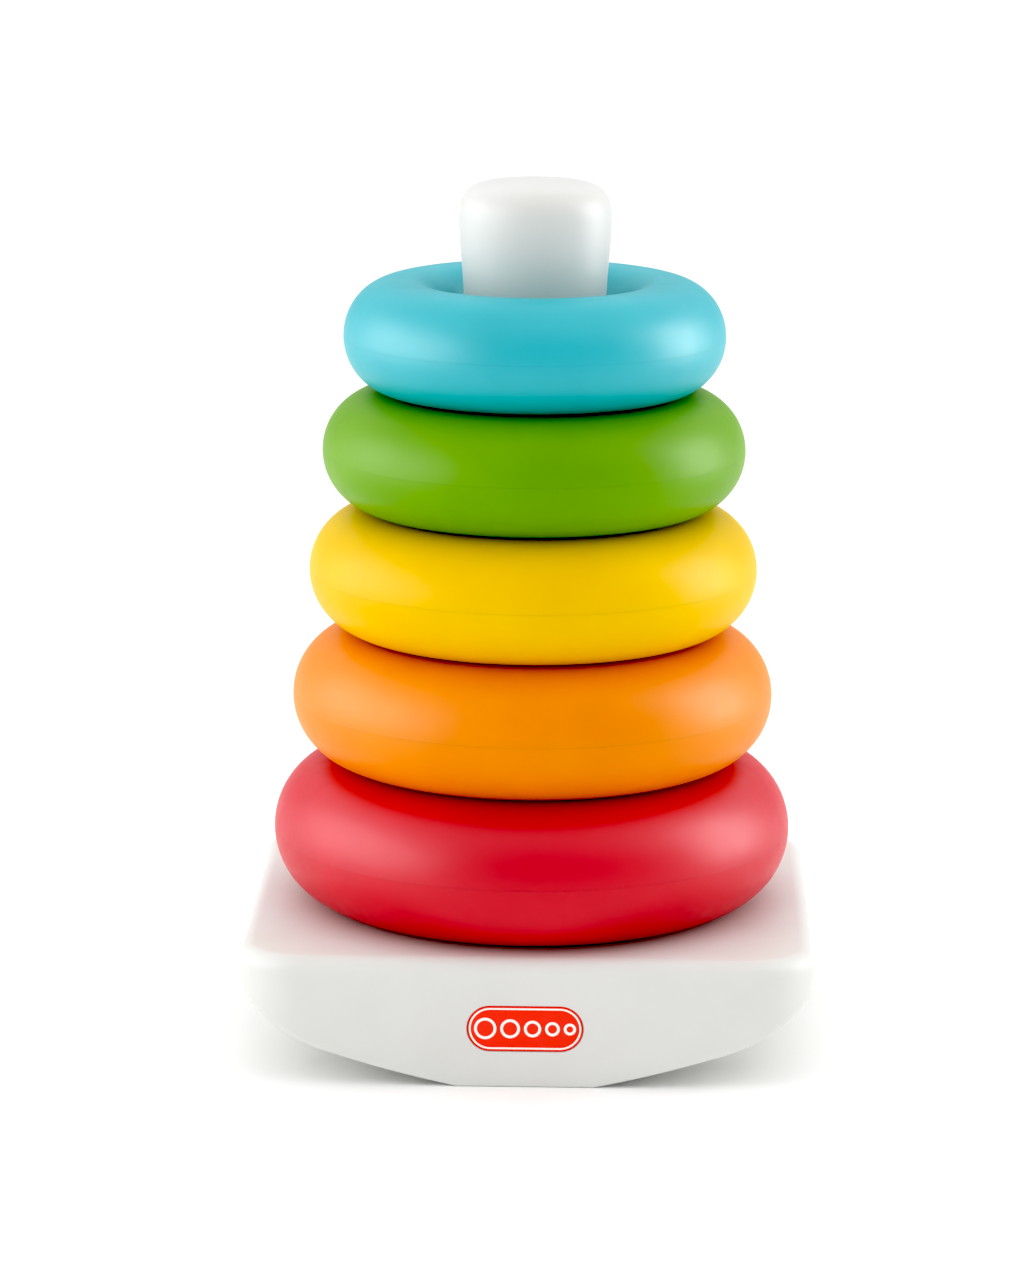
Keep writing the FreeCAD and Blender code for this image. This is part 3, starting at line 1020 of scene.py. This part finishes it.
half_tree = ring_half_tree()
for colour_name, outer_shoulder, colour, deep_colour, gloss in RINGS:
    upper_low, upper_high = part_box(f"{colour_name}_ring_upper")
    half_height = upper_high.z - upper_low.z - REST_GAP
    plastic = satin_plastic(
        f"{colour_name} polyethylene", colour, deep_colour, RING_ROUGHNESS, RING_GLOW, gloss
    )
    for half_name, side in (("lower", -1.0), ("upper", 1.0)):
        half = ring_half(
            f"{colour_name}_ring_{half_name}_half", half_tree,
            {
                "Outer radius": upper_high.x,
                "Hole radius": HOLE_RADIUS,
                "Half height": half_height,
                "Outer shoulder": outer_shoulder * half_height,
                "Inner shoulder": INNER_SHOULDER * half_height,
                "Weld height": upper_low.z,
                "Side": side,
                "Steps across": STEPS_ACROSS,
                "Steps around": STEPS_AROUND,
                "Material": plastic,
            },
        )
        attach(half, f"{colour_name}_ring")
        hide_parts(f"{colour_name}_ring_{half_name}")


# --- studio ---------------------------------------------------------------------------------
# A pale floor under plain soft light: a large box light at each side and a broad one overhead,
# in a white room. Each side box has a twin that only makes highlights. The camera looks down a
# little from the front.

FLOOR_HALF = 12.0
FLOOR_COLOUR = (250, 250, 249)
ROOM_LIGHT = 0.70
BLACK_POINT = 0.06
CAMERA_PLACE = Vector((0.0215, -1.087, 0.3327))
CAMERA_TURN = math.radians(-1.406)
CAMERA_PITCH = math.radians(12.696)
CAMERA_ROLL = math.radians(0.319)
CAMERA_LENS = 137.5
CAMERA_SENSOR = 36.0

# Name, place, the point it faces, width, height, watts, and whether it only makes highlights.
BOX_LIGHTS = [
    ("left box", (-0.75, -0.10, 0.28), (0, 0, 0.10), 1.15, 0.56, 2.5, False),
    ("right box", (0.70, 0.12, 0.28), (0, 0, 0.10), 0.40, 0.56, 1.7, False),
    ("left sheen", (-0.75, -0.10, 0.28), (0, 0, 0.10), 1.15, 0.56, 6.6, True),
    ("right sheen", (0.70, 0.12, 0.28), (0, 0, 0.10), 0.40, 0.56, 3.8, True),
    ("ceiling", (0.0, 2.0, 3.2), (0, 2.0, 0), 10.0, 10.0, 204.0, False),
]


def floor_paint():
    """Matt pale paint with a barely visible roller texture."""
    material, tree, shader, place = new_finish("floor paint")
    roller = noise(tree, place, scale=90.0, detail=3.0)
    set_inputs(tree, shader, {
        "Base Color": linear(FLOOR_COLOUR),
        "Roughness": 0.8,
        "Specular IOR Level": 0.2,
        "Normal": relief(tree, roller, strength=0.1, distance=0.05 * MM),
    })
    return material


def facing(place, target):
    """The turn that points a light or camera at a target, with its top upwards."""
    return (Vector(target) - Vector(place)).to_track_quat("-Z", "Y")


floor_work = bmesh.new()
bmesh.ops.create_grid(floor_work, x_segments=8, y_segments=8, size=FLOOR_HALF)
floor = solid_from("floor", floor_work)
floor.data.materials.append(floor_paint())

for name, place, target, width, height, watts, sheen_only in BOX_LIGHTS:
    lamp = bpy.data.lights.new(name, "AREA")
    lamp.shape = "RECTANGLE"
    lamp.size = width
    lamp.size_y = height
    lamp.energy = watts
    box_light = bpy.data.objects.new(name, lamp)
    bpy.context.scene.collection.objects.link(box_light)
    box_light.location = place
    box_light.rotation_mode = "QUATERNION"
    box_light.rotation_quaternion = facing(place, target)
    box_light.visible_camera = False
    box_light.visible_diffuse = not sheen_only

room = bpy.data.worlds.new("white room")
room.use_nodes = True
room_glow = {"Color": (1, 1, 1, 1), "Strength": ROOM_LIGHT}
set_inputs(room.node_tree, room.node_tree.nodes["Background"], room_glow)
bpy.context.scene.world = room
look = bpy.context.scene.view_settings
look.view_transform = "Standard"
look.use_curve_mapping = True
look.curve_mapping.black_level = (BLACK_POINT, BLACK_POINT, BLACK_POINT)

ahead = Vector((
    math.sin(CAMERA_TURN) * math.cos(CAMERA_PITCH),
    math.cos(CAMERA_TURN) * math.cos(CAMERA_PITCH),
    -math.sin(CAMERA_PITCH),
))
level_right = ahead.cross(Vector((0, 0, 1))).normalized()
level_up = level_right.cross(ahead)
camera_right = level_right * math.cos(CAMERA_ROLL) + level_up * math.sin(CAMERA_ROLL)
camera_up = level_up * math.cos(CAMERA_ROLL) - level_right * math.sin(CAMERA_ROLL)
camera_data = bpy.data.cameras.new("camera")
camera_data.lens = CAMERA_LENS
camera_data.sensor_width = CAMERA_SENSOR
camera = bpy.data.objects.new("camera", camera_data)
bpy.context.scene.collection.objects.link(camera)
camera.matrix_world = Matrix.Translation(CAMERA_PLACE) @ Matrix(
    (camera_right, camera_up, -ahead)
).transposed().to_4x4()
bpy.context.scene.camera = camera
